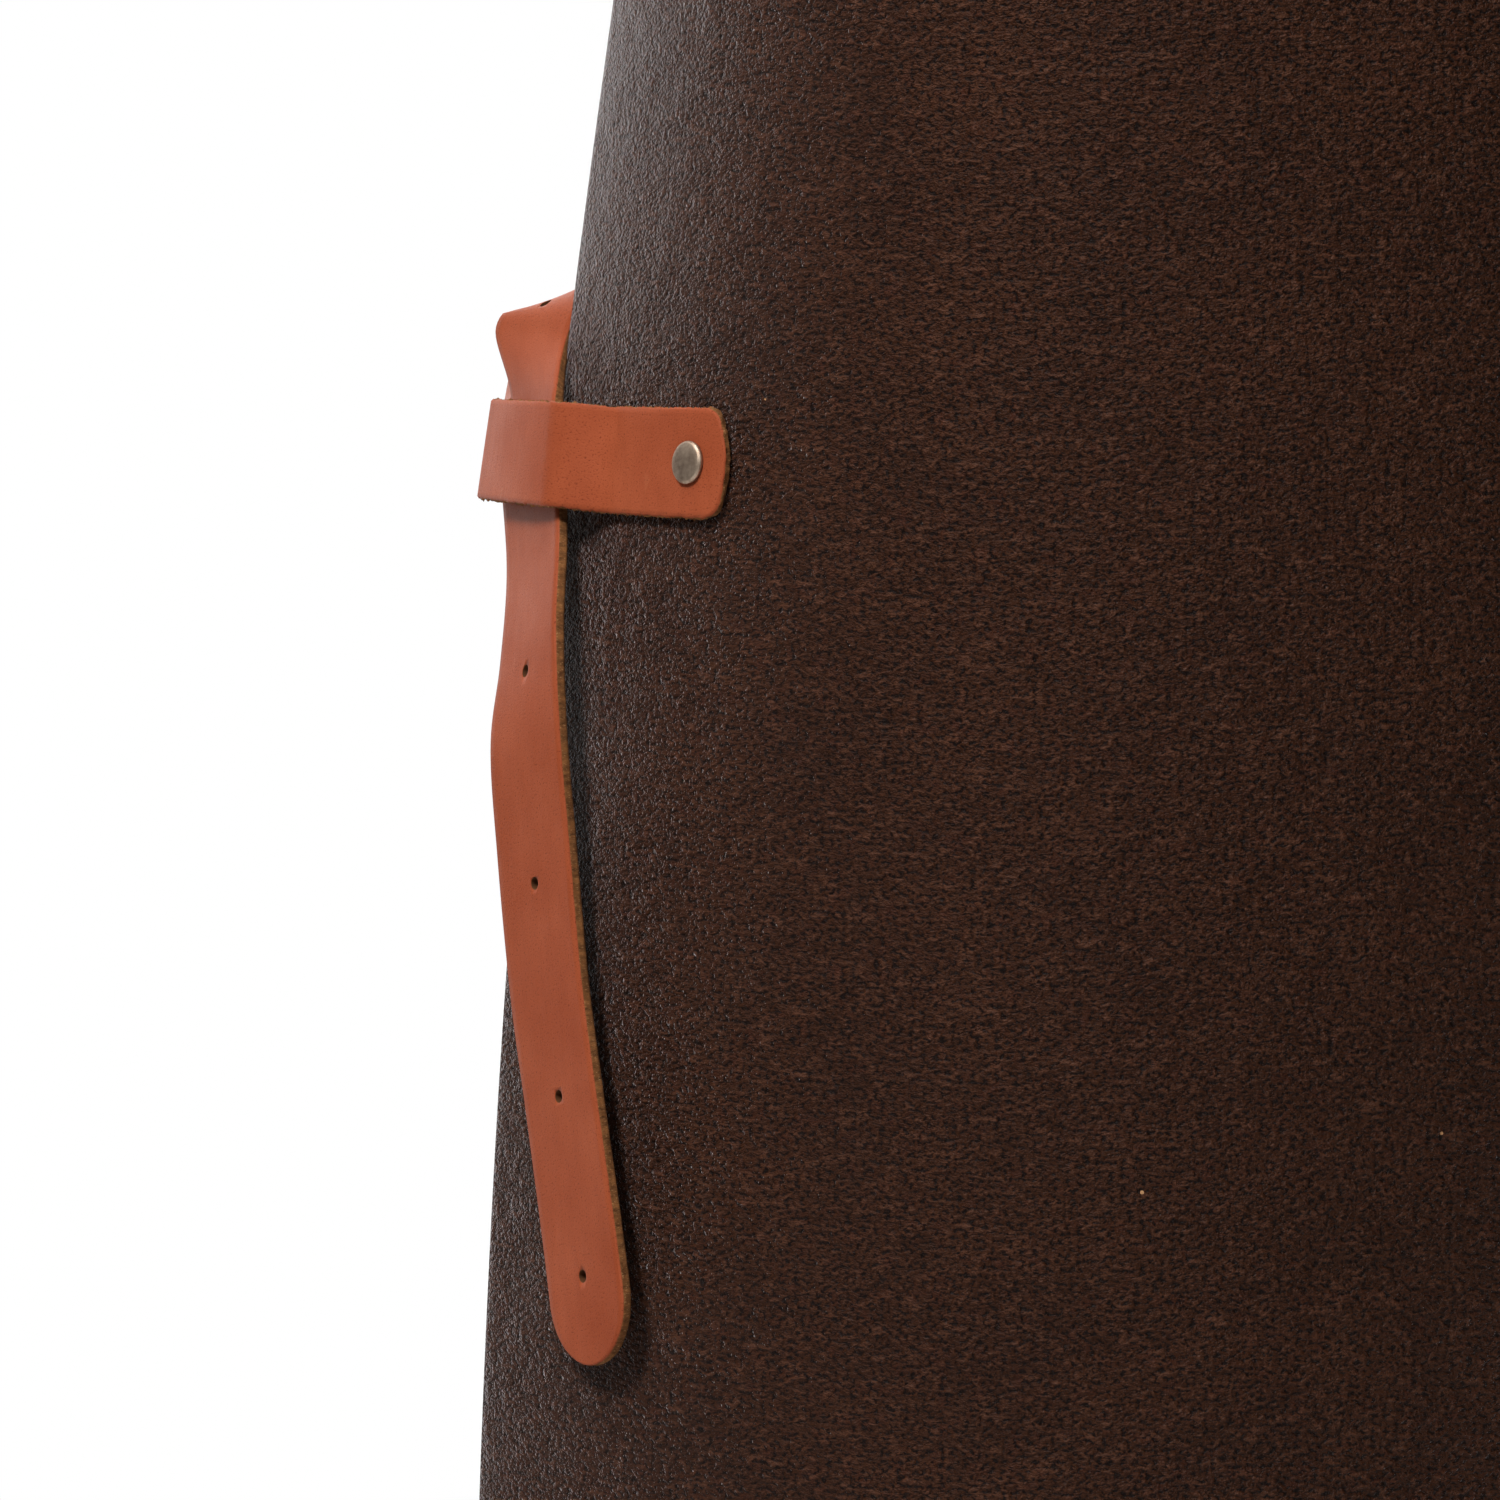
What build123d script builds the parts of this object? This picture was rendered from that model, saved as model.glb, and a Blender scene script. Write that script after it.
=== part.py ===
"""Leather welding apron on its wearer: panel, waist strap, neck strap, keepers, rivets and studs.

Millimetres. +Z is up, +X is the wearer's left and -Y is the front. The origin is the middle of
the neck strap, where it rests on the back of the neck.
"""
import os
from math import cos, degrees, pi, radians, sin, sqrt, tanh

from build123d import *

os.makedirs("parts", exist_ok=True)

# ---- driving dimensions -------------------------------------------------------------------
HALF_WIDTH = 300.0            # panel, flat, centre line to side edge
BIB_HALF_WIDTH = 125.0        # panel, flat, at the top
PANEL_THICK = 1.8
BIB_TOP_Z = -220.0
HIP_Z = -520.0                # height of the hip keepers
HEM_Z = -1020.0
ARMHOLE_BOTTOM = 110.0        # above the hip keepers
ARMHOLE_TOP = 240.0
HEM_CORNER = 25.0

STRAP_WIDTH = 30.0
STRAP_THICK = 2.5
HOLE_DIAMETER = 3.0
HOLE_PITCH = 48.0
TIP_TO_HOLE = 19.5
LAST_PITCH = 40.0             # between the last two holes of a tail

KEEPER_HEIGHT = 24.0
KEEPER_THICK = 2.0
KEEPER_INBOARD = 73.0         # panel edge to the free end of the keeper
RIVET_INBOARD = 62.0          # panel edge to the rivet
RIVET_CAP_DIAMETER = 9.5
RIVET_CAP_HEIGHT = 1.6
RIVET_POST_DIAMETER = 3.0
STUD_HEAD_DIAMETER = 5.0
STUD_HEAD_HEIGHT = 1.6
STUD_NECK_DIAMETER = 2.6
STUD_BASE_DIAMETER = 8.0
STUD_BASE_HEIGHT = 1.0
BIB_KEEPER_DROP = 38.0        # bib top to the middle of the upper keepers

GAP = 0.4                     # between neighbouring pieces of leather
CREST_TWIST = -19.0           # of the hip strap, where it clears the keeper
SEAT = 0.12                   # metal cap over curved leather
HINGE_GAP = 1.8               # where a strap bends out of its plane, between rigid lengths
SWIVEL_GAP = 3.5              # where it turns in its plane
NECK_GAP = 6.0                # at the bib's corners, where the fold is askew to the strap
FRONT_Y = -215.0              # front of the panel at the waist

# ---- shape of the worn panel --------------------------------------------------------------
SIDE_ARCS = ((185.0, 35.0), (145.0, 52.0), (197.0, 120.0))   # radius, degrees, from the middle
FLARE_AT_HIP = 1.02
FLARE_SWING = 0.26
FLARE_REACH = 300.0
BIB_FLATTEN = 0.45
BIB_LEAN = 20.0


def bib_rise(z):
    """How far up the bib a height is: 0 at the waist and below, 1 at the bib top."""
    waist = HIP_Z + 100.0
    return max(0.0, (z - waist) / (BIB_TOP_Z - waist)) ** 2


def flare(z):
    """Growth of the panel's radii at a height: narrow at the waist, wide at the hem."""
    return (FLARE_AT_HIP - FLARE_SWING * tanh((z - HIP_Z) / FLARE_REACH)
            + BIB_FLATTEN * bib_rise(z))


def front(z):
    return FRONT_Y + BIB_LEAN * bib_rise(z)


def on_panel(along, z, out=0.0, side=-1):
    """Point on the panel's outer face, at an arc length from the middle, and its turn."""
    grow = flare(z)
    x, y, turn = 0.0, front(z), 0.0
    left = along
    for radius, sweep in SIDE_ARCS:
        step = min(left, radius * radians(sweep))
        next_turn = turn + step / (radius * grow)
        x += radius * grow * (sin(next_turn) - sin(turn))
        y += radius * grow * (cos(turn) - cos(next_turn))
        turn = next_turn
        left -= step
    return Vector(side * (x + out * sin(turn)), y - out * cos(turn), z), turn


def half_width(z):
    """Flat half width of the panel at a height, with the armhole as a quarter ellipse."""
    up = z - HIP_Z
    if up <= ARMHOLE_BOTTOM:
        return HALF_WIDTH
    down = max(0.0, (ARMHOLE_TOP - up) / (ARMHOLE_TOP - ARMHOLE_BOTTOM))
    return HALF_WIDTH - (HALF_WIDTH - BIB_HALF_WIDTH) * sqrt(1.0 - down ** 2)


def panel_plane(along, z, out, side):
    """Plane lying on the panel: x runs round it towards the edge, z points outward."""
    point, turn = on_panel(along, z, out, side)
    above, _ = on_panel(along, z + 1.0, out, side)
    round_it = Vector(side * cos(turn), sin(turn), 0.0)
    upward = above - point
    outward = round_it.cross(upward) * side
    return Plane(origin=point, x_dir=round_it, z_dir=outward)


# ---- apron panel --------------------------------------------------------------------------
SECTION_STEP = 50.0
SECTIONS = round((BIB_TOP_Z - HEM_Z) / SECTION_STEP)
UPPER_Z = BIB_TOP_Z - BIB_KEEPER_DROP
KEEPER_PLACES = {
    "hip_right": (HALF_WIDTH, HIP_Z, -1),
    "hip_left": (HALF_WIDTH, HIP_Z, 1),
    "bib_right": (BIB_HALF_WIDTH, UPPER_Z, -1),
    "bib_left": (BIB_HALF_WIDTH, UPPER_Z, 1),
}

with BuildPart() as apron_panel:
    for height in [HEM_Z + n * SECTION_STEP for n in range(SECTIONS + 1)]:
        with BuildSketch(Plane.XY.offset(height)):
            with BuildLine():
                reach = [n / 10 for n in range(11)]
                outer = [on_panel(HALF_WIDTH * r, height)[0] for r in reach]
                inner = [on_panel(HALF_WIDTH * r, height, -PANEL_THICK)[0] for r in reach]
                flipped_outer = [Vector(-p.X, p.Y, p.Z) for p in outer[:0:-1]]
                flipped_inner = [Vector(-p.X, p.Y, p.Z) for p in inner[:0:-1]]
                Spline(*[Vector(p.X, p.Y) for p in flipped_outer + outer])
                Spline(*[Vector(p.X, p.Y) for p in flipped_inner + inner])
                Line((outer[-1].X, outer[-1].Y), (inner[-1].X, inner[-1].Y))
                Line((-outer[-1].X, outer[-1].Y), (-inner[-1].X, inner[-1].Y))
            make_face()
    loft()
    armhole_heights = [HIP_Z + ARMHOLE_TOP - (ARMHOLE_TOP - ARMHOLE_BOTTOM) * cos(a * pi / 12)
                       for a in range(7)]
    armhole = [on_panel(half_width(z), z)[0] for z in armhole_heights]
    top_corner = on_panel(BIB_HALF_WIDTH, BIB_TOP_Z)[0]
    with BuildSketch(Plane.YZ):
        with BuildLine():
            Spline(*[(p.Y, p.Z) for p in armhole])
            Polyline((armhole[-1].Y, armhole[-1].Z), (top_corner.Y, BIB_TOP_Z + 1),
                     (150, BIB_TOP_Z + 1), (150, armhole[0].Z), (armhole[0].Y, armhole[0].Z))
        make_face()
    extrude(amount=2 * HALF_WIDTH, both=True, mode=Mode.SUBTRACT)
    for edge_at, keeper_z, side in KEEPER_PLACES.values():
        with BuildSketch(panel_plane(edge_at - RIVET_INBOARD, keeper_z, 0.0, side)):
            Circle(RIVET_POST_DIAMETER / 2 + 0.1)
        extrude(amount=3 * PANEL_THICK, both=True, mode=Mode.SUBTRACT)
apron_panel.part.label = "apron_panel"

# ---- keepers: one strip each, folded round the panel's edge and the strap -------------------
LAYER_FRONT = GAP + KEEPER_THICK / 2
LAYER_BACK = -(PANEL_THICK + GAP + KEEPER_THICK / 2)
STRAP_OUT = GAP + STRAP_THICK / 2 + 3.0                # strap's middle, above the panel's face
STUD_ROOM = STUD_HEAD_HEIGHT + 0.6
LAYER_OVER = STRAP_OUT + STRAP_THICK / 2 + STUD_ROOM + KEEPER_THICK / 2
STRAP_BEYOND = 3.0                                     # strap's middle, past the panel's edge
FOLD_AT = STRAP_BEYOND + STRAP_WIDTH / 2 + 2.0
FOLD_RADIUS = (LAYER_OVER - LAYER_BACK) / 2
RAMP_FOOT = -36.0
RAMP_TOP = -17.0


def keeper_rise(past):
    """Height of the front layer: flat on the panel, then an even ramp up over the strap."""
    ramp = min(1.0, max(0.0, (past - RAMP_FOOT) / (RAMP_TOP - RAMP_FOOT)))
    return LAYER_FRONT + (LAYER_OVER - LAYER_FRONT) * (1 - cos(pi * ramp)) / 2


def keeper_run(inset):
    """(past the edge, outward) along one face of the strip, from the free end round and back."""
    steps = 24
    length = KEEPER_INBOARD + FOLD_AT
    pasts = [-KEEPER_INBOARD + length * n / steps for n in range(steps + 1)]
    middle = (LAYER_OVER + LAYER_BACK) / 2
    radius = FOLD_RADIUS + inset
    fold = [(FOLD_AT + radius * sin(pi * n / 6), middle + radius * cos(pi * n / 6))
            for n in range(1, 6)]
    front_face = [(past, keeper_rise(past) + inset) for past in pasts]
    back_face = [(past, LAYER_BACK - inset) for past in reversed(pasts)]
    return front_face + fold + back_face


def keeper(name, edge_at, keeper_z, side):
    """A folded keeper with its rivet hole through both layers and its stud hole at the back."""
    with BuildPart() as strip:
        for step in (-0.5, 0.0, 0.5):
            z = keeper_z + step * KEEPER_HEIGHT
            with BuildSketch(Plane.XY.offset(z)):
                with BuildLine():
                    faces = []
                    for inset in (KEEPER_THICK / 2, -KEEPER_THICK / 2):
                        points = [on_panel(edge_at + past, z, out, side)[0]
                                  for past, out in keeper_run(inset)]
                        faces.append([(p.X, p.Y) for p in points])
                        Spline(*faces[-1])
                    Line(faces[0][0], faces[1][0])
                    Line(faces[0][-1], faces[1][-1])
                make_face()
        loft()
        with BuildSketch(panel_plane(edge_at - RIVET_INBOARD, keeper_z, 0.0, side)):
            Circle(RIVET_POST_DIAMETER / 2 + 0.1)
        extrude(amount=10.0, both=True, mode=Mode.SUBTRACT)
        with BuildSketch(panel_plane(edge_at + STRAP_BEYOND, keeper_z, LAYER_BACK, side)):
            Circle(STUD_NECK_DIAMETER / 2 + 0.1)
        extrude(amount=KEEPER_THICK, both=True, mode=Mode.SUBTRACT)
    strip.part.label = name
    return strip.part


keepers = {place: keeper(f"keeper_{place}", *where) for place, where in KEEPER_PLACES.items()}

# ---- rivets: domed cap, post and back cap --------------------------------------------------
RIVET_TOP = LAYER_FRONT + KEEPER_THICK / 2 + SEAT
RIVET_BOTTOM = LAYER_BACK - KEEPER_THICK / 2 - SEAT


def domed_disc(plane, diameter, height):
    """A disc with a softly rounded rim, standing on the plane."""
    with BuildPart() as disc:
        with BuildSketch(plane):
            Circle(diameter / 2)
        extrude(amount=height)
        far = disc.faces().sort_by(Axis(plane.origin, plane.z_dir))[-1]
        fillet(far.edges(), radius=0.8 * height)
    return disc.part


def post(plane, diameter, length):
    with BuildPart() as pin:
        with BuildSketch(plane):
            Circle(diameter / 2)
        extrude(amount=length)
    return pin.part


def facing_back(plane):
    return Plane(origin=plane.origin, x_dir=plane.x_dir, z_dir=-plane.z_dir)


metal = {}
for place, (edge_at, keeper_z, side) in KEEPER_PLACES.items():
    skin = panel_plane(edge_at - RIVET_INBOARD, keeper_z, 0.0, side)
    foot = skin.offset(RIVET_BOTTOM)
    metal[f"rivet_cap_{place}"] = domed_disc(
        skin.offset(RIVET_TOP), RIVET_CAP_DIAMETER, RIVET_CAP_HEIGHT)
    metal[f"rivet_back_cap_{place}"] = domed_disc(
        facing_back(foot), RIVET_CAP_DIAMETER, RIVET_CAP_HEIGHT)
    metal[f"rivet_post_{place}"] = post(foot, RIVET_POST_DIAMETER, RIVET_TOP - RIVET_BOTTOM)

# ---- button studs: the head stands through the strap's hole under the keeper ---------------
STUD_FOOT = LAYER_BACK - KEEPER_THICK / 2 - SEAT
STUD_TOP = STRAP_OUT + STRAP_THICK / 2 + 0.2
for place, (edge_at, keeper_z, side) in KEEPER_PLACES.items():
    skin = panel_plane(edge_at + STRAP_BEYOND, keeper_z, 0.0, side)
    foot = skin.offset(STUD_FOOT)
    neck = post(foot, STUD_NECK_DIAMETER, STUD_TOP - STUD_FOOT)
    head = domed_disc(skin.offset(STUD_TOP), STUD_HEAD_DIAMETER, STUD_HEAD_HEIGHT)
    metal[f"stud_{place}"] = neck + head
    metal[f"stud_base_{place}"] = domed_disc(
        facing_back(foot), STUD_BASE_DIAMETER, STUD_BASE_HEIGHT)
for name, piece in metal.items():
    piece.label = name

# ---- straps -------------------------------------------------------------------------------


def strap_plane(point, outward, along):
    """Cross-section plane of a strap: local x is its width, local y its thickness."""
    return Plane(origin=point, x_dir=outward.cross(along), z_dir=along)


def eased(stations, steps=4):
    """Extra stations on a smooth curve through the given ones."""
    padded = [stations[0], *stations, stations[-1]]
    curve = []
    for n in range(len(stations) - 1):
        before, start, end, after = padded[n:n + 4]
        for step in range(steps):
            t = step / steps
            curve.append(tuple(
                (start[i] * 2 + (end[i] - before[i]) * t
                 + (before[i] * 2 - start[i] * 5 + end[i] * 4 - after[i]) * t ** 2
                 + (start[i] * 3 - before[i] - end[i] * 3 + after[i]) * t ** 3) * 0.5
                for i in (0, 1)))
    return curve + [stations[-1]]


def strap_length(name, stations, holes=(), steps=4):
    """A length of strap lofted through (point, outward) stations, drilled at the holes."""
    curve = eased(stations, steps)
    points = [point for point, _ in curve]
    with BuildPart() as length:
        for n, (point, outward) in enumerate(curve):
            along = points[min(n + 1, len(points) - 1)] - points[max(n - 1, 0)]
            with BuildSketch(strap_plane(point, outward, along)):
                Rectangle(STRAP_WIDTH, STRAP_THICK)
        loft(ruled=True)
        for point, outward in holes:
            with BuildSketch(Plane(origin=point, z_dir=outward)):
                Circle(HOLE_DIAMETER / 2)
            extrude(amount=2 * STRAP_THICK, both=True, mode=Mode.SUBTRACT)
    length.part.label = name
    return length.part


def lie(edge_at, past, z, out, side, twist=0.0):
    """A strap station by the panel: its middle, and its face's direction, twisted off the panel's."""
    plane = panel_plane(edge_at + past, z, out, side)
    face = plane.z_dir * cos(radians(twist)) + plane.x_dir * sin(radians(twist))
    return plane.origin, face


def rounded_tip(part, end, outward, along, radius):
    """Cut the end of a strap to a half circle that finishes at the end point."""
    centre = end - along.normalized() * radius
    with BuildPart() as cutter:
        with BuildSketch(Plane(origin=centre, x_dir=along, z_dir=outward)):
            with Locations((radius, 0)):
                Rectangle(2 * radius, 3 * radius)
            Circle(radius, mode=Mode.SUBTRACT)
        extrude(amount=6 * STRAP_THICK, both=True)
    return part - cutter.part


straps = {}

# Tails: (past the edge, below the keeper's middle, outward, twist in degrees). The hip tail
# stands off the panel in one slow wave and leans forward as it drops.
KEEPER_BOTTOM = KEEPER_HEIGHT / 2
HINGE_DROP = KEEPER_BOTTOM + 7.0
HIP_TAIL = ((-6.0, HINGE_DROP + HINGE_GAP, 4.4, 3.0), (-13.2, 43.0, 7.2, 5.0),
            (-17.0, 62.0, 8.7, 1.0), (-20.0, 87.0, 6.6, 2.0), (-25.5, 119.0, 4.8, 6.0),
            (-31.5, 141.0, 4.6, 9.0), (-41.0, 179.0, 4.8, 12.0), (-45.0, 197.0, 5.6, 13.0))
BIB_TAIL = ((STRAP_BEYOND, HINGE_DROP + HINGE_GAP, 5.0, 0.0), (3.5, 40.0, 6.0, 0.0),
            (4.5, 75.0, 7.0, 0.0))


def tail(name, edge_at, keeper_z, side, shape, drops):
    def station(values):
        past, drop, out, twist = values
        return lie(edge_at, past, keeper_z - drop, out, side, twist)

    stations = [station(values) for values in shape]
    end, outward = stations[-1]
    holes = []
    for drop in drops:
        high = [s for s in shape if s[1] <= drop][-1]
        low = [s for s in shape if s[1] > drop][0]
        mix = (drop - high[1]) / (low[1] - high[1])
        holes.append(station([a + mix * (b - a) for a, b in zip(high, low)]))
    part = strap_length(name, stations, holes)
    part = rounded_tip(part, end, outward, end - stations[-2][0], STRAP_WIDTH / 2)
    part.label = name
    return part


hip_tip = HIP_TAIL[-1][1]
hip_holes = [hip_tip - TIP_TO_HOLE - (0 if n == 0 else LAST_PITCH + (n - 1) * HOLE_PITCH)
             for n in range(4)]
bib_holes = [BIB_TAIL[-1][1] - TIP_TO_HOLE]

# Lengths held in the keepers, from the hinge below up to where the strap leaves the apron.
HIP_BEND = Vector(122.0, 52.0, HIP_Z + 16.0)           # where it swings, behind the left hip
BACK_Y = 84.0
BACK_RISE = 6.0
BACK_DEPTH = (BACK_Y - HIP_BEND.Y) / (1 - sqrt(0.5))   # of the ellipse that the back follows
BACK_RADIUS = HIP_BEND.X / sqrt(0.5)


def waist_back_station(angle):
    """Point round the back on an ellipse, at an angle from the left side; its face looks out."""
    rise = (sin(angle) - sqrt(0.5)) / (1 - sqrt(0.5))
    point = Vector(BACK_RADIUS * cos(angle), BACK_Y - BACK_DEPTH * (1 - sin(angle)),
                   HIP_BEND.Z + BACK_RISE * rise)
    outward = Vector(BACK_DEPTH * cos(angle), BACK_RADIUS * sin(angle), 0).normalized()
    return point, outward


def hip_run(name, edge_at, keeper_z, side):
    """Up through the keeper, over a crest and a quarter twist to face the hip behind it."""
    def at(past, up, out, twist=0.0):
        return lie(edge_at, past, keeper_z + up, out, side, twist)

    out_way = Vector(side, 0, 0)
    back = Vector(0, 1, 0)
    up = Vector(0, 0, 1)
    root, face = at(15.4, 27.0, STRAP_OUT - 1.0, CREST_TWIST)
    bend, bend_face = waist_back_station(pi / 4)
    bend = Vector(side * bend.X, bend.Y, bend.Z)
    bend_face = Vector(side * bend_face.X, bend_face.Y, 0)
    heading = (out_way * bend_face.Y - back * bend_face.X * side).normalized()
    end = bend + heading * (STRAP_WIDTH / 2 + SWIVEL_GAP)
    stations = [at(-5.2, -HINGE_DROP, STRAP_OUT - 0.3), at(STRAP_BEYOND, 0.0, STRAP_OUT),
                at(3.0, 12.6, STRAP_OUT), (root, face),
                (root + up * 6 - out_way * 3, (face * 1.6 + up).normalized()),
                (root + up * 8.5 - out_way * 10 + back * 2, (up * 3 + face + back).normalized()),
                (root + up * 7 - out_way * 19 + back * 10,
                 (up * 1.4 + out_way + back * 0.6).normalized()),
                (end + heading * 8, bend_face), (end, bend_face)]
    return strap_length(name, stations, [stations[1]])


for word, side in (("right", -1), ("left", 1)):
    straps[f"waist_strap_tail_{word}"] = tail(f"waist_strap_tail_{word}", HALF_WIDTH, HIP_Z,
                                              side, HIP_TAIL, hip_holes)
    straps[f"waist_strap_run_{word}"] = hip_run(f"waist_strap_run_{word}", HALF_WIDTH, HIP_Z,
                                                side)
    straps[f"neck_strap_tail_{word}"] = tail(f"neck_strap_tail_{word}", BIB_HALF_WIDTH, UPPER_Z,
                                             side, BIB_TAIL, bib_holes)
    upper = [lie(BIB_HALF_WIDTH, past, UPPER_Z + up, STRAP_OUT, side)
             for past, up in ((STRAP_BEYOND, -HINGE_DROP), (STRAP_BEYOND, 0.0),
                              (STRAP_BEYOND, HINGE_DROP))]
    straps[f"neck_strap_run_{word}"] = strap_length(f"neck_strap_run_{word}", upper, [upper[1]])

# Back of the waist strap: level round the back, its width upright, a round end at each bend.
ROUND_STEPS = 24
round_back = [waist_back_station(pi / 4 + pi / 2 * n / ROUND_STEPS)
              for n in range(ROUND_STEPS + 1)]
lead = (round_back[1][0] - round_back[0][0]).normalized() * (STRAP_WIDTH / 2)
mirrored_lead = Vector(-lead.X, lead.Y, lead.Z)
left_end = (round_back[0][0] - lead, round_back[0][1])
right_end = (round_back[-1][0] - mirrored_lead, round_back[-1][1])
back = strap_length("waist_strap_back", [left_end, *round_back, right_end], steps=1)
for (point, outward), way in ((left_end, lead), (right_end, mirrored_lead)):
    back = rounded_tip(back, point, outward, -way, STRAP_WIDTH / 2)
back.label = "waist_strap_back"
straps["waist_strap_back"] = back

# Back of the neck strap: up the chest, over each shoulder, round the back of the neck.
NECK_BOTTOM = lie(BIB_HALF_WIDTH, STRAP_BEYOND, UPPER_Z + HINGE_DROP + NECK_GAP, STRAP_OUT, 1)
NECK_HALF = (NECK_BOTTOM, lie(BIB_HALF_WIDTH, STRAP_BEYOND, UPPER_Z + 3 * HINGE_DROP, STRAP_OUT, 1),
             (Vector(112, -172, -150), Vector(0.25, -1.0, 0.1)),
             (Vector(97, -135, -72), Vector(0.30, -0.85, 0.5)),
             (Vector(82, -82, -22), Vector(0.30, -0.35, 1.0)),
             (Vector(60, -32, -4), Vector(0.35, 0.35, 1.0)),
             (Vector(32, -6, 0), Vector(0.2, 0.9, 0.75)),
             (Vector(0, 0, 0), Vector(0.0, 1.0, 0.6)))


def mirrored(station):
    point, outward = station
    return Vector(-point.X, point.Y, point.Z), Vector(-outward.X, outward.Y, outward.Z)


neck_stations = list(NECK_HALF) + [mirrored(s) for s in NECK_HALF[-2::-1]]
straps["neck_strap_back"] = strap_length("neck_strap_back", neck_stations)

# ---- every piece to its own file -----------------------------------------------------------
pieces = {"apron_panel": apron_panel.part, **metal, **straps}
pieces.update({f"keeper_{place}": part for place, part in keepers.items()})
for name, piece in pieces.items():
    export_step(piece, f"parts/{name}.step")
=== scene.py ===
"""Leather welding apron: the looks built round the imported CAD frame.

Metres, +Z up, +X the wearer's left, -Y the front. Every leather piece is a slab: a flat outline
laid on a curved surface, with softened grain edges and a rough cut edge all round.
"""
import math

import bmesh
import bpy
import numpy as np
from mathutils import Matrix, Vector


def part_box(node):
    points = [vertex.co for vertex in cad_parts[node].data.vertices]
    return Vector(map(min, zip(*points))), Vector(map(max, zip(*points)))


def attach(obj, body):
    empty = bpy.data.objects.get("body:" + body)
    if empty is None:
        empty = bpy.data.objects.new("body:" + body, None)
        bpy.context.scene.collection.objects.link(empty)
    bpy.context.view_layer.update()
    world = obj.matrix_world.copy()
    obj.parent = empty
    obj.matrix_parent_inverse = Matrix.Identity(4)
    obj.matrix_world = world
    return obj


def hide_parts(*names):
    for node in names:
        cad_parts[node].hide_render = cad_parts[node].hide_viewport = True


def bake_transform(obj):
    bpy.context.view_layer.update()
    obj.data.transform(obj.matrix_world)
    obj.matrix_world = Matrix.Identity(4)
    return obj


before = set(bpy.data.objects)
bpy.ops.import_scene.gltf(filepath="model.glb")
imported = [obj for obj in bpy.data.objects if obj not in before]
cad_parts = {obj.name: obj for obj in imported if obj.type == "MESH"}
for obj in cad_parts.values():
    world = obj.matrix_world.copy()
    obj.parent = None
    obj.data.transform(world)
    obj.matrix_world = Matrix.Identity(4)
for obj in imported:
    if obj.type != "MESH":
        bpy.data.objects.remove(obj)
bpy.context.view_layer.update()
MM = 0.001

# ---- sizes, in millimetres, read from the frame or shared with the CAD ---------------------
panel_low, panel_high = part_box("apron_panel")
cap_low, cap_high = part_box("rivet_cap_hip_right")
bib_cap_low, bib_cap_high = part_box("rivet_cap_bib_right")
HIP_Z = (cap_low.z + cap_high.z) / 2 / MM
BIB_Z = (bib_cap_low.z + bib_cap_high.z) / 2 / MM
HEM_Z = panel_low.z / MM
BIB_TOP_Z = panel_high.z / MM
HALF_WIDTH = 300.0          # of the flat panel, from its middle to its side edge
BIB_HALF_WIDTH = 125.0
PANEL_THICK = 1.8
ARMHOLE_BOTTOM = 110.0      # above the hip keepers, as ARMHOLE_TOP is
ARMHOLE_TOP = 240.0
HEM_CORNER = 30.0
STRAP_WIDTH = 30.0
STRAP_THICK = 2.5
KEEPER_HEIGHT = 24.0
KEEPER_THICK = 2.0
KEEPER_INBOARD = 73.0       # the keeper's end, in from the panel's edge
RIVET_INBOARD = 62.0
RIVET_RADIUS = (cap_high.z - cap_low.z) / 2 / MM
RIVET_HEIGHT = 1.6
GAP = 0.4                   # between the keeper and the panel
STRAP_OUT = 4.65            # the strap's middle, out from the panel's face
STRAP_BEYOND = 3.0          # the strap's middle line, past the panel's edge
FOLD_AT = 20.0              # past the edge, where the keeper turns back on itself
RAMP_FOOT = -36.0           # past the edge, where the keeper starts to rise over the strap
RAMP_TOP = -17.0
HOLE_RADIUS = 1.45
HOLE_PITCH = 48.0
TIP_TO_HOLE = 19.5
LAST_PITCH = 40.0           # between the hole nearest the tip and the next
SIDES = {"right": -1, "left": 1}

# ---- the worn shape ----------------------------------------------------------------------
FRONT_Y = -215.0            # the panel's middle, in front of the wearer
SIDE_ARCS = ((185.0, 35.0), (145.0, 52.0), (197.0, 120.0))      # radius and degrees, from the front
WAIST_ABOVE = 100.0         # above the hip keepers, where the bib starts to lean and flatten
BIB_LEAN = 20.0             # how far back the bib's top is
BIB_FLATTEN = 0.45          # how much flatter the bib's top is
FLARE_MEAN = 1.02           # the arcs' radii are scaled by this at the hip keepers' height
FLARE_CHANGE = 0.26         # wider by up to this below, narrower by up to this above
FLARE_SPAN = 300.0


def bib_rise(z):
    """From 0 at the waist to 1 at the bib's top."""
    waist = HIP_Z + WAIST_ABOVE
    return np.clip((z - waist) / (BIB_TOP_Z - waist), 0.0, None) ** 2


def flare(z):
    """Scale of the arcs' radii at a height."""
    taper = FLARE_CHANGE * np.tanh((z - HIP_Z) / FLARE_SPAN)
    return FLARE_MEAN - taper + BIB_FLATTEN * bib_rise(z)


def on_panel(along, z, side):
    """Points on the panel's outer face, at arc lengths from the middle and heights."""
    along, z = np.broadcast_arrays(np.asarray(along, float), np.asarray(z, float))
    grow = flare(z)
    x = np.zeros_like(grow)
    y = FRONT_Y + BIB_LEAN * bib_rise(z)
    turn = np.zeros_like(grow)
    left = along
    for radius, sweep in SIDE_ARCS:
        step = np.clip(left, None, radius * math.radians(sweep))
        after = turn + step / (radius * grow)
        x = x + radius * grow * (np.sin(after) - np.sin(turn))
        y = y + radius * grow * (np.cos(turn) - np.cos(after))
        turn = after
        left = left - step
    return np.stack([side * x, y, z], axis=-1)


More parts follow.
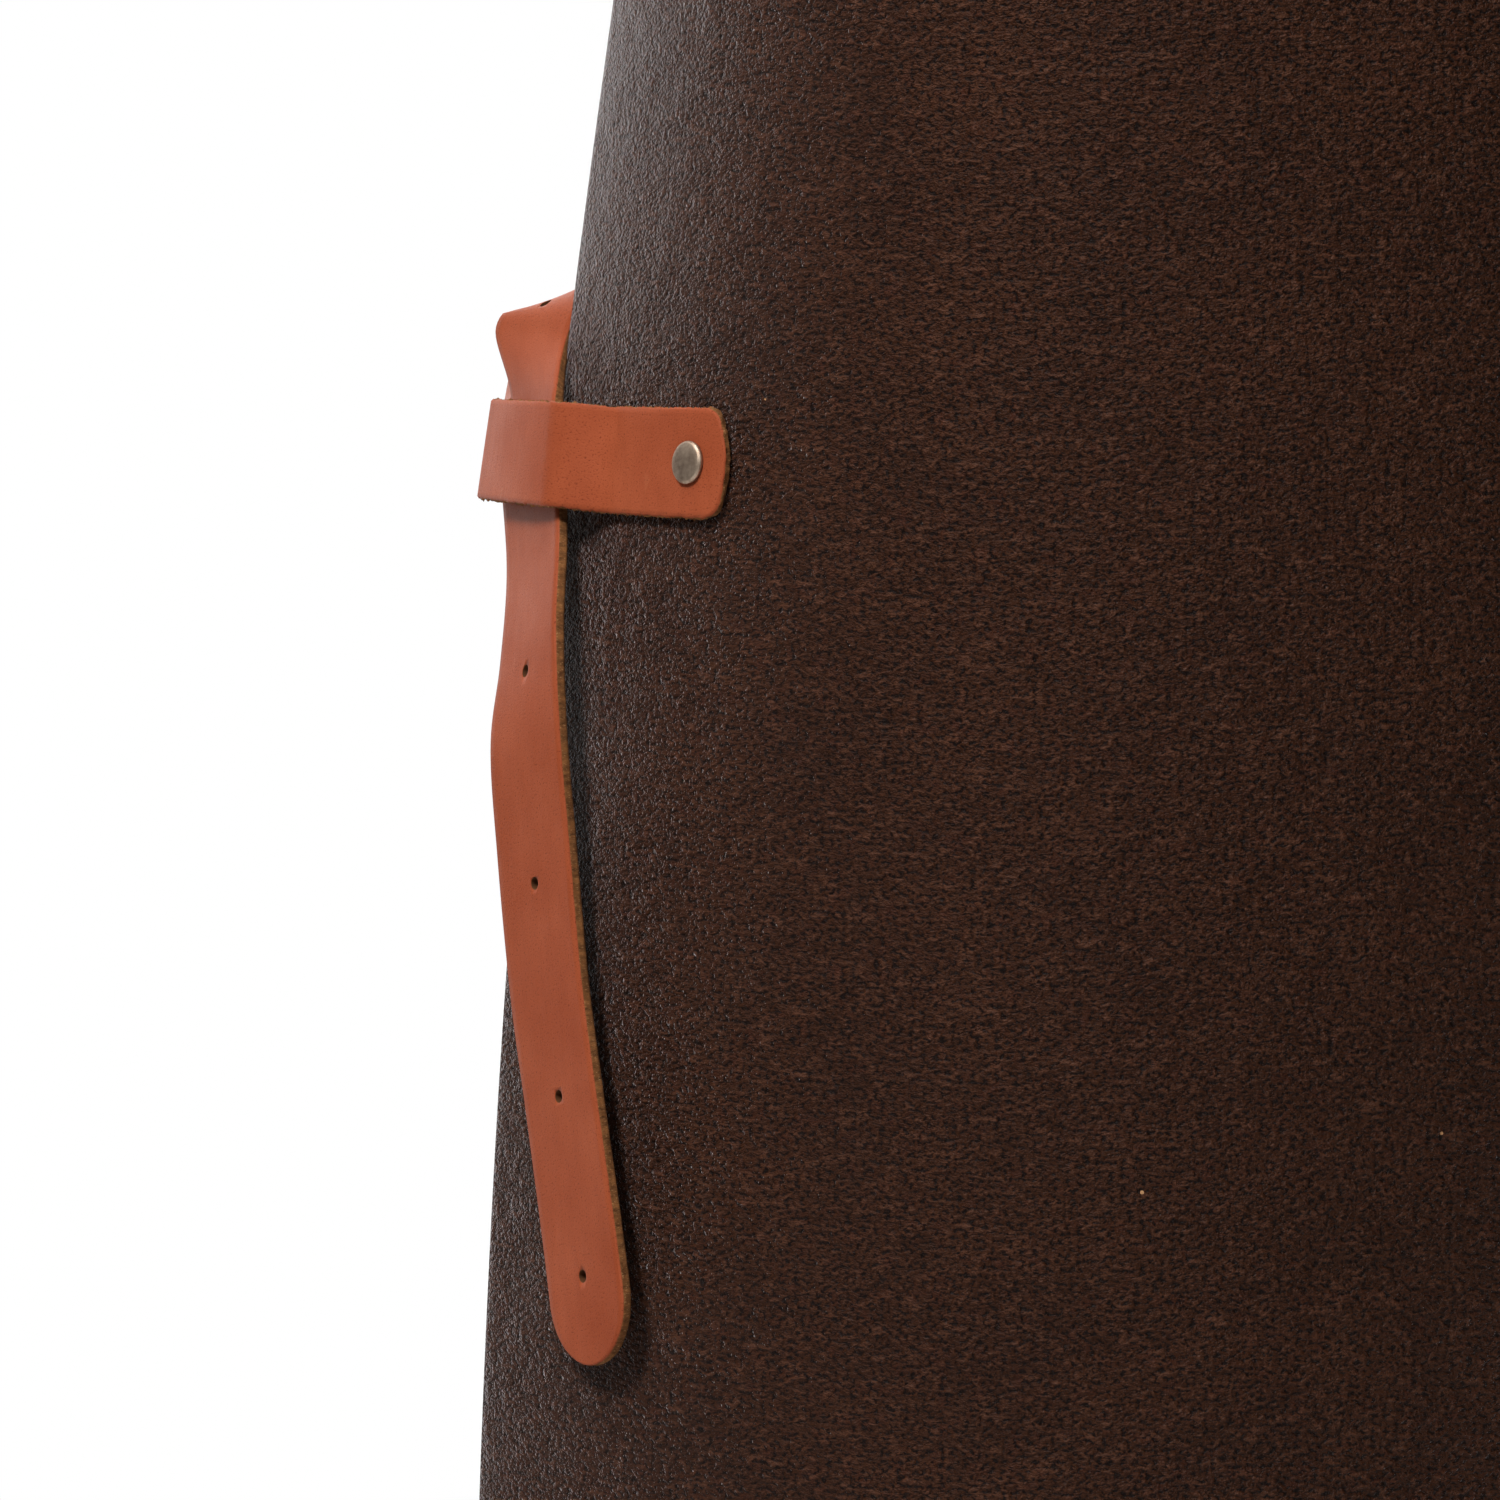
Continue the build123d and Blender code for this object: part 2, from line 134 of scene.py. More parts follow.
def normals_of(surface, x, y, step=0.05):
    """Unit normals of a surface function, on the side that x cross y points to."""
    across = surface(x + step, y) - surface(x - step, y)
    along = surface(x, y + step) - surface(x, y - step)
    normal = np.cross(across, along)
    return normal / np.linalg.norm(normal, axis=-1, keepdims=True)


# ---- slabs: a flat outline laid on a surface ------------------------------------------------
def ring_of(grid):
    """The outer loop of a grid of points, once round."""
    return np.concatenate([grid[:-1, 0], grid[-1, :-1], grid[:0:-1, -1], grid[0, :0:-1]])


def outward_of(ring):
    """Flat unit directions pointing out of a closed ring of flat points."""
    edges = ring - np.roll(ring, 1, axis=0)
    outward = np.stack([edges[:, 1], -edges[:, 0]], axis=-1)
    outward += np.roll(outward, -1, axis=0)
    outward /= np.linalg.norm(outward, axis=-1, keepdims=True) + 1e-9
    if np.sum(outward * (ring - ring.mean(axis=0))) < 0:
        outward = -outward
    return outward


def add_piece(name, mesh):
    """An object for a mesh, put in the scene."""
    piece = bpy.data.objects.new(name, mesh)
    bpy.context.scene.collection.objects.link(piece)
    return piece


def slab_mesh(name, points, quads, slots, uvs, materials):
    """A smooth mesh of quads facing outwards, with a material and flat UVs for each."""
    mesh = bpy.data.meshes.new(name)
    mesh.from_pydata((points * MM).tolist(), [], quads.tolist())
    for material in materials:
        mesh.materials.append(material)
    mesh.polygons.foreach_set("material_index", slots.astype(np.int32))
    mesh.polygons.foreach_set("use_smooth", np.ones(len(mesh.polygons), bool))
    layer = mesh.uv_layers.new(name="flat")
    layer.data.foreach_set("uv", (uvs * MM).ravel().astype(np.float32))
    mesh.validate()
    fix = bmesh.new()
    fix.from_mesh(mesh)
    bmesh.ops.recalc_face_normals(fix, faces=fix.faces)
    if fix.calc_volume(signed=True) < 0:
        bmesh.ops.reverse_faces(fix, faces=fix.faces)
    fix.to_mesh(mesh)
    fix.free()
    return mesh


EDGE_DEPTHS = (0.4, 0.65)       # the cut edge's two middle lines, as shares of the thickness
CORNER_ROUGH = 0.5              # the corner lines wander this share of the middle lines' way
GRAIN_SLOT, EDGE_SLOT, FLESH_SLOT = 0, 1, 2


def slab(name, outline, surface, top, bottom, cells, materials, rough, seed, bevel=0.35):
    """A sheet between two heights over a surface.

    outline(u, v, inset) gives flat millimetres for u in -1..1 and v in 0..1. The grain face, the
    cut edge and the flesh face take the three materials. UVs are flat metres; on the cut edge
    they run along the edge and through the thickness.
    """
    across, along = cells
    u, v = np.meshgrid(np.linspace(-1, 1, across + 1), np.linspace(0, 1, along + 1),
                       indexing="ij")
    inner = outline(u, v, bevel)
    outer = outline(u, v, 0.0)
    flat_ring = np.stack([ring_of(outer[0]), ring_of(outer[1])], axis=-1)
    outward = outward_of(flat_ring)
    noise = np.random.default_rng(seed)

    def lay(x, y, height):
        return surface(x, y) + normals_of(surface, x, y) * np.asarray(height)[..., None]

    def rim(height, spread):
        wobble = noise.normal(0.0, spread, len(flat_ring))
        moved = flat_ring + outward * wobble[:, None]
        return lay(moved[:, 0], moved[:, 1], np.full(len(moved), height))

    thick = top - bottom
    soften = math.copysign(bevel, thick)
    levels = [top - soften, *(top - share * thick for share in EDGE_DEPTHS), bottom + soften]
    spreads = [rough * CORNER_ROUGH, rough, rough, rough * CORNER_ROUGH]
    rims = [rim(level, spread) for level, spread in zip(levels, spreads)]
    top_grid = lay(*inner, np.full(u.shape, top))
    bottom_grid = lay(*inner, np.full(u.shape, bottom))
    points = np.concatenate([top_grid.reshape(-1, 3), bottom_grid.reshape(-1, 3), *rims])

    # The grain face and, under it, the flesh face.
    index = np.arange(u.size).reshape(u.shape)
    corners = (index[:-1, :-1], index[1:, :-1], index[1:, 1:], index[:-1, 1:])
    face = np.stack([corner.ravel() for corner in corners], axis=-1)
    flat = np.stack([inner[0].ravel(), inner[1].ravel()], axis=-1)
    quads = [face, face[:, ::-1] + u.size]
    uvs = [flat[face], flat[face[:, ::-1]]]
    slots = [np.full(len(face), GRAIN_SLOT), np.full(len(face), FLESH_SLOT)]

    # The cut edge: one band of quads between each line round it and the next.
    ring = ring_of(index)
    count = len(ring)
    lines = [2 * u.size + n * count + np.arange(count) for n in range(len(rims))]
    loops = [ring, *lines, ring + u.size]
    depths = [0.0, *[abs(top - level) for level in levels], abs(thick)]
    steps = np.linalg.norm(np.roll(flat_ring, -1, axis=0) - flat_ring, axis=-1)
    run = np.concatenate([[0.0], np.cumsum(steps)])
    low, high = run[:-1], run[1:]
    for n, (here, below) in enumerate(zip(loops, loops[1:])):
        quads.append(np.stack([here, below, np.roll(below, -1), np.roll(here, -1)], axis=-1))
        one, two = np.full(count, depths[n]), np.full(count, depths[n + 1])
        uvs.append(np.stack([np.stack([low, one], -1), np.stack([low, two], -1),
                             np.stack([high, two], -1), np.stack([high, one], -1)], axis=1))
        slots.append(np.full(count, GRAIN_SLOT if n == 0 else EDGE_SLOT))

    mesh = slab_mesh(name, points, np.concatenate(quads), np.concatenate(slots),
                     np.concatenate(uvs), materials)
    return add_piece(name, mesh)


def punch(piece, centres, material):
    """Punch round holes through a slab, at (point, direction) places."""
    radius = HOLE_RADIUS * MM
    depth = 4 * STRAP_THICK * MM
    cut = bmesh.new()
    for point, direction in centres:
        turn = Vector(direction).to_track_quat("Z", "Y").to_matrix().to_4x4()
        turn.translation = Vector(point) * MM
        bmesh.ops.create_cone(cut, cap_ends=True, segments=28, radius1=radius, radius2=radius,
                              depth=depth, matrix=turn)
    tool_mesh = bpy.data.meshes.new("punch")
    cut.to_mesh(tool_mesh)
    cut.free()
    tool_mesh.materials.append(material)
    tool = add_piece("punch", tool_mesh)
    change = piece.modifiers.new("punch", "BOOLEAN")
    change.object = tool
    change.operation = "DIFFERENCE"
    change.solver = "EXACT"
    change.material_mode = "TRANSFER"
    graph = bpy.context.evaluated_depsgraph_get()
    punched = bpy.data.meshes.new_from_object(piece.evaluated_get(graph))
    piece.modifiers.clear()
    piece.data = punched
    bpy.data.objects.remove(tool)


# ---- materials ---------------------------------------------------------------------------
MIX_ONE, MIX_TWO, MIX_RESULT = 6, 7, 2      # a colour mix node's own sockets


class Shader:
    """A small builder for one material's nodes."""

    def __init__(self, name):
        self.material = bpy.data.materials.new(name)
        self.material.use_nodes = True
        self.tree = self.material.node_tree
        self.tree.nodes.clear()
        self.bsdf = self.add("ShaderNodeBsdfPrincipled")
        output = self.add("ShaderNodeOutputMaterial")
        self.link(self.bsdf.outputs["BSDF"], output.inputs["Surface"])

    def add(self, kind, **settings):
        node = self.tree.nodes.new(kind)
        for key, value in settings.items():
            setattr(node, key, value)
        return node

    def link(self, source, target):
        self.tree.links.new(source, target)

    def feed(self, node, socket, value):
        """Link an output to an input, or set the input to a plain value."""
        if isinstance(value, bpy.types.NodeSocket):
            self.link(value, node.inputs[socket])
        else:
            node.inputs[socket].default_value = value

    def flat_mm(self, scale=(1.0, 1.0)):
        """The piece's flat coordinates in millimetres, stretched by a scale."""
        coords = self.add("ShaderNodeTexCoord")
        mapping = self.add("ShaderNodeMapping")
        mapping.inputs["Scale"].default_value = (scale[0] / MM, scale[1] / MM, 1.0)
        self.link(coords.outputs["UV"], mapping.inputs["Vector"])
        return mapping.outputs["Vector"]

    def noise(self, vector, size, detail=3.0, rough=0.55, distortion=0.0):
        """Noise whose features are about size millimetres."""
        node = self.add("ShaderNodeTexNoise")
        self.link(vector, node.inputs["Vector"])
        node.inputs["Scale"].default_value = 1.0 / size
        node.inputs["Detail"].default_value = detail
        node.inputs["Roughness"].default_value = rough
        node.inputs["Distortion"].default_value = distortion
        return node.outputs["Fac"]

    def cells(self, vector, size, feature="F1"):
        """Distances in random cells of about size millimetres."""
        node = self.add("ShaderNodeTexVoronoi", feature=feature)
        self.link(vector, node.inputs["Vector"])
        node.inputs["Scale"].default_value = 1.0 / size
        return node.outputs["Distance"]

    def span(self, value, low, high, out_low=0.0, out_high=1.0):
        """The value's range low to high stretched to another range, and clamped."""
        node = self.add("ShaderNodeMapRange")
        self.feed(node, "Value", value)
        node.inputs["From Min"].default_value = low
        node.inputs["From Max"].default_value = high
        node.inputs["To Min"].default_value = out_low
        node.inputs["To Max"].default_value = out_high
        return node.outputs["Result"]

    def math(self, operation, one, two):
        node = self.add("ShaderNodeMath", operation=operation)
        self.feed(node, 0, one)
        self.feed(node, 1, two)
        return node.outputs[0]

    def mix(self, amount, one, two):
        """From the first colour to the second; a colour is an output or three numbers."""
        node = self.add("ShaderNodeMix", data_type="RGBA")
        self.link(amount, node.inputs["Factor"])
        for socket, color in ((MIX_ONE, one), (MIX_TWO, two)):
            plain = not isinstance(color, bpy.types.NodeSocket)
            self.feed(node, socket, (*color, 1.0) if plain else color)
        return node.outputs[MIX_RESULT]

    def bump(self, height, millimetres, strength=1.0):
        node = self.add("ShaderNodeBump")
        node.inputs["Strength"].default_value = strength
        node.inputs["Distance"].default_value = millimetres * MM
        self.link(height, node.inputs["Height"])
        return node.outputs["Normal"]

    def finish(self, color, roughness, normal=None, **plain):
        """The material, with any other inputs of its surface set by name."""
        self.feed(self.bsdf, "Base Color", color)
        self.feed(self.bsdf, "Roughness", roughness)
        if normal is not None:
            self.link(normal, self.bsdf.inputs["Normal"])
            self.link(normal, self.bsdf.inputs["Coat Normal"])
        for key, value in plain.items():
            self.bsdf.inputs[key.replace("_", " ")].default_value = value
        return self.material


def panel_grain():
    """Dark chocolate nubuck: crisp pebbles lying sideways, red-brown mottling, a few pale specks,
    painted shade in the grooves and painted highlights on the pebbles' crowns.
    """
    s = Shader("panel_grain")
    flat = s.flat_mm()
    lying = s.flat_mm((0.72, 1.0))
    pebble = s.noise(lying, 0.95, detail=2.0, rough=0.6, distortion=0.25)
    fold = s.noise(s.flat_mm((0.50, 1.0)), 1.9, detail=2.0, rough=0.5, distortion=0.5)
    fine = s.noise(lying, 0.38, detail=2.0)
    roll = s.noise(s.flat_mm((0.7, 1.0)), 9.0, detail=2.0)
    mottle = s.span(s.noise(flat, 30.0, detail=4.0, rough=0.6), 0.35, 0.65)
    ruddy = s.span(s.noise(flat, 4.0, detail=3.0, rough=0.7), 0.5, 0.75)
    brown = s.mix(mottle, (0.0320, 0.0100, 0.0036), (0.0430, 0.0139, 0.0053))
    brown = s.mix(s.math("MULTIPLY", ruddy, 0.45), brown, (0.0640, 0.0165, 0.0090))
    # painted shade: the grooves between the pebbles are darkened in the colour, where shade falls
    painted_groove_shade = s.math("MULTIPLY", s.span(pebble, 0.51, 0.38), 0.95)
    brown = s.mix(painted_groove_shade, brown, (0.0050, 0.0018, 0.0010))
    # painted highlight: the raised crowns of the pebbles and folds are lightened in the colour, as
    # lit tops
    painted_crown_highlight = s.math("MULTIPLY", s.span(s.math("ADD", pebble, fold), 1.05, 1.28), 0.50)
    brown = s.mix(painted_crown_highlight, brown, (0.1150, 0.0450, 0.0240))
    speck = s.cells(flat, 26.0)
    flake = s.math("LESS_THAN", s.math("ADD", speck, s.math("MULTIPLY", fine, 0.012)), 0.022)
    color = s.mix(flake, brown, (0.42, 0.22, 0.10))
    height = s.math("ADD", pebble, s.math("MULTIPLY", fine, 0.25))
    height = s.math("ADD", height, s.math("MULTIPLY", fold, 0.6))
    height = s.math("ADD", height, s.math("MULTIPLY", roll, 1.4))
    normal = s.bump(height, 1.6, 1.0)
    return s.finish(color, s.span(pebble, 0.3, 0.7, 0.62, 0.48), normal,
                    Specular_IOR_Level=0.05, Sheen_Weight=0.60, Sheen_Roughness=0.10,
                    Sheen_Tint=(0.90, 0.85, 0.88, 1.0), Coat_Weight=0.12, Coat_Roughness=0.26,
                    Coat_IOR=1.4)


def strap_grain():
    """Cognac leather with a waxy sheen, fine pores, pull-up clouds and a few scratches."""
    s = Shader("strap_grain")
    flat = s.flat_mm()
    cloud = s.span(s.noise(flat, 24.0, detail=4.0, rough=0.55), 0.3, 0.7)
    streak = s.span(s.noise(s.flat_mm((1.0, 0.22)), 3.0, detail=4.0, rough=0.6), 0.3, 0.7)
    pores = s.noise(flat, 0.50, detail=3.0, rough=0.7)
    color = s.mix(cloud, (0.285, 0.059, 0.022), (0.365, 0.086, 0.035))
    color = s.mix(s.math("MULTIPLY", streak, 0.35), color, (0.245, 0.050, 0.018))
    color = s.mix(s.span(pores, 0.44, 0.32), color, (0.150, 0.026, 0.009))
    scratch = s.cells(s.flat_mm((1.0, 0.05)), 7.0, feature="DISTANCE_TO_EDGE")
    rare = s.math("GREATER_THAN", s.noise(flat, 9.0, detail=1.0), 0.66)
    line = s.math("MULTIPLY", s.math("LESS_THAN", scratch, 0.012), rare)
    color = s.mix(s.math("MULTIPLY", line, 0.12), color, (0.46, 0.17, 0.08))
    height = s.math("ADD", pores, s.math("MULTIPLY", streak, 0.35))
    normal = s.bump(height, 0.14, 0.9)
    return s.finish(color, s.span(cloud, 0.0, 1.0, 0.54, 0.44), normal,
                    Specular_IOR_Level=0.05)


def flesh(name, dark, light):
    """The napped inner side of the hide."""
    s = Shader(name)
    flat = s.flat_mm()
    nap = s.noise(flat, 0.7, detail=5.0, rough=0.75)
    cloud = s.noise(flat, 14.0, detail=3.0)
    shade = s.math("ADD", nap, s.math("MULTIPLY", cloud, 0.45))
    color = s.mix(s.span(shade, 0.45, 1.05), dark, light)
    return s.finish(color, 0.95, s.bump(nap, 0.35), Specular_IOR_Level=0.12, Sheen_Weight=0.35)


def cut_edge(name, dark, light, fibre):
    """A raw cut edge: pale fibres, longer through the thickness, over darker and lighter tufts."""
    s = Shader(name)
    across = s.flat_mm((1.0, 0.35))
    strands = s.noise(across, 0.35, detail=4.0, rough=0.8)
    tufts = s.noise(across, 1.6, detail=3.0, rough=0.7)
    color = s.mix(s.span(tufts, 0.35, 0.65), dark, light)
    color = s.mix(s.span(strands, 0.56, 0.70), color, fibre)
    height = s.math("ADD", strands, tufts)
    return s.finish(color, 0.9, s.bump(height, 0.5), Specular_IOR_Level=0.15)


def antique_brass():
    """Worn brass with a darker patina."""
    s = Shader("antique_brass")
    coords = s.add("ShaderNodeTexCoord").outputs["Object"]
    patina = s.noise(coords, 2.5 * MM, detail=4.0, rough=0.6)
    grit = s.noise(coords, 0.25 * MM, detail=3.0)
    color = s.mix(s.span(patina, 0.35, 0.68), (0.270, 0.190, 0.135), (0.520, 0.400, 0.300))
    return s.finish(color, s.span(grit, 0.3, 0.7, 0.40, 0.58), s.bump(grit, 0.05, 0.6),
                    Metallic=0.92)


GRAIN = panel_grain()
PANEL_FLESH = flesh("panel_flesh", (0.055, 0.030, 0.020), (0.105, 0.062, 0.042))
PANEL_EDGE = cut_edge("panel_edge", (0.020, 0.014, 0.007), (0.050, 0.034, 0.016),
                      (0.12, 0.085, 0.045))
COGNAC = strap_grain()
STRAP_FLESH = flesh("strap_flesh", (0.30, 0.135, 0.065), (0.46, 0.24, 0.13))
STRAP_EDGE = cut_edge("strap_edge", (0.110, 0.040, 0.012), (0.300, 0.120, 0.038),
                      (0.62, 0.36, 0.17))
# painted shade: the holes' walls are the strap's cut edge at about half its brightness, darkened as
# shade inside the holes
SHADED_HOLE_WALL = cut_edge("hole_wall_painted_shade", (0.055, 0.020, 0.008), (0.16, 0.065, 0.025), (0.34, 0.16, 0.08))
BRASS = antique_brass()
PANEL_LEATHER = (GRAIN, PANEL_EDGE, PANEL_FLESH)
STRAP_LEATHER = (COGNAC, STRAP_EDGE, STRAP_FLESH)


# ---- apron panel ---------------------------------------------------------------------------
PANEL_CELLS = (200, 230)
ROW_STOPS = (0.0, 0.10, 0.72, 0.92, 1.0)    # rows up to the hem's corner, the armhole and its top
CALM_BAND = 80.0            # above and below the hip keepers, where the unevenness fades in
FOLDS_BELOW = 60.0          # the folds of the skirt start this far below the hip keepers
FOLDS_GROW = 250.0          # and have their named height this much lower
FOLDS_MOST = 1.5            # and at most this many times that height
FOLD_HEIGHT = 3.0
FOLD_SPACING = 43.0
CALM_EDGE = 40.0            # the strip along each side edge that stays even
BODY_RADIUS = 165.0         # the round that the unevenness points away from


def half_width(z, inset):
    """Flat half width at a height: hem corners rounded, armhole a quarter ellipse."""
    up = z - HIP_Z
    down = np.clip((ARMHOLE_TOP - up) / (ARMHOLE_TOP - ARMHOLE_BOTTOM), 0.0, 1.0)
    armhole = HALF_WIDTH - (HALF_WIDTH - BIB_HALF_WIDTH) * np.sqrt(1.0 - down ** 2)
    low = np.clip(HEM_CORNER - (z - HEM_Z), 0.0, HEM_CORNER)
    corner = HEM_CORNER - np.sqrt(HEM_CORNER ** 2 - low ** 2)
    return armhole - corner - inset


def panel_height(v, inset):
    """Heights up the panel, closer together in the round corner and the armhole."""
    stops_v = np.array(ROW_STOPS)
    stops = np.array([HEM_Z + inset, HEM_Z + HEM_CORNER, HIP_Z + ARMHOLE_BOTTOM,
                      HIP_Z + ARMHOLE_TOP, BIB_TOP_Z - inset])
    z = np.interp(v, stops_v, stops)
    corner = v < stops_v[1]
    z = np.where(corner, stops[0] + (stops[1] - stops[0]) * (v / stops_v[1]) ** 2, z)
    armhole = (v > stops_v[2]) & (v < stops_v[3])
    share = (v - stops_v[2]) / (stops_v[3] - stops_v[2])
    curve = (stops[3] - stops[2]) * (1 - np.cos(np.clip(share, 0, 1) * math.pi / 2))
    return np.where(armhole, stops[2] + curve, z)


def panel_outline(u, v, inset):
    """The flat panel: across it and up it."""
    z = panel_height(v, inset)
    return u * half_width(z, inset), z


def panel_wave(along, z):
    """The hide's own slow unevenness, nothing at the keepers' height."""
    calm = np.clip(np.abs(z - HIP_Z) / CALM_BAND, 0.0, 1.0)
    rising = 0.9 * np.sin(along / 37.0 + z / 95.0)
    falling = 0.6 * np.sin(along / 61.0 - z / 70.0 + 1.3)
    below = np.clip((HIP_Z - FOLDS_BELOW - z) / FOLDS_GROW, 0.0, FOLDS_MOST)
    return calm * (rising + falling) + below * FOLD_HEIGHT * np.sin(along / FOLD_SPACING)


def panel_surface(along, z):
    """The worn panel's face, with the left side at positive arc lengths."""
    point = on_panel(np.abs(along), z, 1)
    point[..., 0] *= np.where(along < 0, -1.0, 1.0)
    return point


def waved_panel(along, z):
    """The worn panel's face with the hide's unevenness, which fades out towards its side edges."""
    point = panel_surface(along, z)
    fade = np.clip(1 - np.abs(along) / (HALF_WIDTH - CALM_EDGE), 0, 1)
    bulge = panel_wave(along, z) * fade
    turn = np.abs(along) / BODY_RADIUS * np.where(along < 0, -1.0, 1.0)
    point[..., 0] += bulge * np.sin(turn)
    point[..., 1] -= bulge * np.cos(turn)
    return point


panel = slab("panel", panel_outline, waved_panel, 0.0, -PANEL_THICK, PANEL_CELLS, PANEL_LEATHER,
             rough=0.05, seed=1, bevel=0.3)
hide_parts("apron_panel")
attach(panel, "apron")


# ---- places on the panel --------------------------------------------------------------------
def beside_edge(edge_at, keeper_z, side):
    """Surface over (past the edge, up from the keeper) at one keeper."""
    def surface(past, up):
        return on_panel(edge_at + past, keeper_z + up, side)
    return surface


def stand_off(surface, side, past, up, out):
    """Point off the panel, its outward direction and the direction away round the panel."""
    past, up = np.asarray(past, float), np.asarray(up, float)
    normal = normals_of(surface, past, up) * side
    step = 0.5
    round_it = surface(past + step, up) - surface(past - step, up)
    round_it /= np.linalg.norm(round_it, axis=-1, keepdims=True)
    return surface(past, up) + normal * np.asarray(out, float)[..., None], normal, round_it


KEEPERS = {
    f"{level}_{word}": (edge_at, z, side)
    for level, edge_at, z in (("hip", HALF_WIDTH, HIP_Z), ("bib", BIB_HALF_WIDTH, BIB_Z))
    for word, side in SIDES.items()
}

# ---- keepers ---------------------------------------------------------------------------------
# The middle of each keeper layer, out from the panel's face.
STUD_ROOM = 2.2             # for the stud's head, between the strap and the keeper
LAYER_FRONT = GAP + KEEPER_THICK / 2
LAYER_BACK = -(PANEL_THICK + GAP + KEEPER_THICK / 2)
LAYER_OVER = STRAP_OUT + STRAP_THICK / 2 + STUD_ROOM + KEEPER_THICK / 2
FOLD_RADIUS = (LAYER_OVER - LAYER_BACK) / 2
FRONT_LENGTH = KEEPER_INBOARD + FOLD_AT
KEEPER_LENGTH = 2 * FRONT_LENGTH + math.pi * FOLD_RADIUS
KEEPER_CELLS = (24, 420)
KEEPER_ARCH = 3.2           # how far the ends' corners stand back from their middle
KEEPER_CORNER = 3.0
KEEPER_CORNER_DEPTH = 0.9   # the corner's share of a full quarter round
KEEPER_TAPER = 0.0006       # lost width for each millimetre of length
KEEPER_ROUGH = 0.26
KEEPER_SEED = 7


def keeper_path(length):
    """(past the edge, outward) at a length along the strip: front layer, fold, back layer."""
    front_past = length - KEEPER_INBOARD
    ramp = np.clip((front_past - RAMP_FOOT) / (RAMP_TOP - RAMP_FOOT), 0.0, 1.0)
    rise = LAYER_FRONT + (LAYER_OVER - LAYER_FRONT) * (1 - np.cos(math.pi * ramp)) / 2
    turn = np.clip((length - FRONT_LENGTH) / FOLD_RADIUS, 0.0, math.pi)
    past = np.where(length < FRONT_LENGTH, front_past,
                    FOLD_AT + FOLD_RADIUS * np.sin(turn)
                    - np.clip(length - FRONT_LENGTH - math.pi * FOLD_RADIUS, 0.0, None))
    out = np.where(length < FRONT_LENGTH, rise,
                   (LAYER_OVER + LAYER_BACK) / 2 + FOLD_RADIUS * np.cos(turn))
    return past, out


def keeper_outline(u, v, inset):
    """A strip with softly rounded, shallow arched ends."""
    half = KEEPER_HEIGHT / 2 - inset
    up = u * half
    near_edge = np.clip((np.abs(up) - (half - KEEPER_CORNER)) / KEEPER_CORNER, 0.0, 1.0)
    arch = KEEPER_ARCH * (up / half) ** 2
    corner = KEEPER_CORNER * (1 - np.sqrt(1 - near_edge ** 2)) * KEEPER_CORNER_DEPTH
    start = inset + (arch + corner)
    return start + v * (KEEPER_LENGTH - 2 * start), up


for place, (edge_at, keeper_z, side) in KEEPERS.items():
    under = beside_edge(edge_at, keeper_z, side)

    def keeper_surface(length, up, under=under, side=side):
        past, out = keeper_path(length)
        return stand_off(under, side, past, up * (1.0 - KEEPER_TAPER * length), out)[0]

    strip = slab(f"keeper_strip_{place}", keeper_outline,
                 keeper_surface, side * KEEPER_THICK / 2, -side * KEEPER_THICK / 2,
                 KEEPER_CELLS, STRAP_LEATHER, rough=KEEPER_ROUGH, seed=KEEPER_SEED + len(place))
    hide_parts(f"keeper_{place}")
    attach(strip, "apron")


# ---- rivets ------------------------------------------------------------------------------------
DOME_REACH = 0.93           # the dome's share of the cap's radius; its rolled rim has the rest
DOME_FOOT = 0.62            # share of the cap's height where the dome ends and its rim begins
RIM_DROP = 0.34             # share of the height that the rim rolls down
CAP_FOOT = 0.97             # share of the radius at the leather
CAP_SIDES = 48


def cap_profile():
    """Radius, and share of the height, from beside the cap's middle out and down to its foot."""
    dome = [(DOME_REACH * math.sin(a), DOME_FOOT + (1 - DOME_FOOT) * math.cos(a))
            for a in np.linspace(0.15, math.pi / 2, 12)]
    rim = [(DOME_REACH + (1 - DOME_REACH) * math.sin(a), DOME_FOOT - RIM_DROP * (1 - math.cos(a)))
           for a in np.linspace(0.3, math.pi / 2, 5)]
    return [(RIVET_RADIUS * share, up) for share, up in [*dome, *rim, (CAP_FOOT, 0.0)]]


def domed_cap(name, point, outward, material):
    """A rivet cap: a shallow dome rolled over to a fine rim."""
    turns = np.linspace(0, 2 * math.pi, CAP_SIDES, endpoint=False)
    shape = bmesh.new()
    loops = []
    for radius, up in cap_profile():
        loops.append([shape.verts.new((radius * math.cos(a) * MM, radius * math.sin(a) * MM,
                                       up * RIVET_HEIGHT * MM)) for a in turns])
    tip = shape.verts.new((0, 0, RIVET_HEIGHT * MM))
    foot = shape.verts.new((0, 0, 0))
    for n in range(CAP_SIDES):
        after = (n + 1) % CAP_SIDES
        shape.faces.new((tip, loops[0][n], loops[0][after]))
        for one, two in zip(loops, loops[1:]):
            shape.faces.new((one[n], two[n], two[after], one[after]))
        shape.faces.new((loops[-1][n], foot, loops[-1][after]))
    for face in shape.faces:
        face.smooth = True
    mesh = bpy.data.meshes.new(name)
    shape.to_mesh(mesh)
    shape.free()
    mesh.materials.append(material)
    cap = add_piece(name, mesh)
    cap.rotation_mode = "QUATERNION"
    cap.rotation_quaternion = Vector(outward).to_track_quat("Z", "Y")
    cap.location = Vector(point) * MM
    return cap


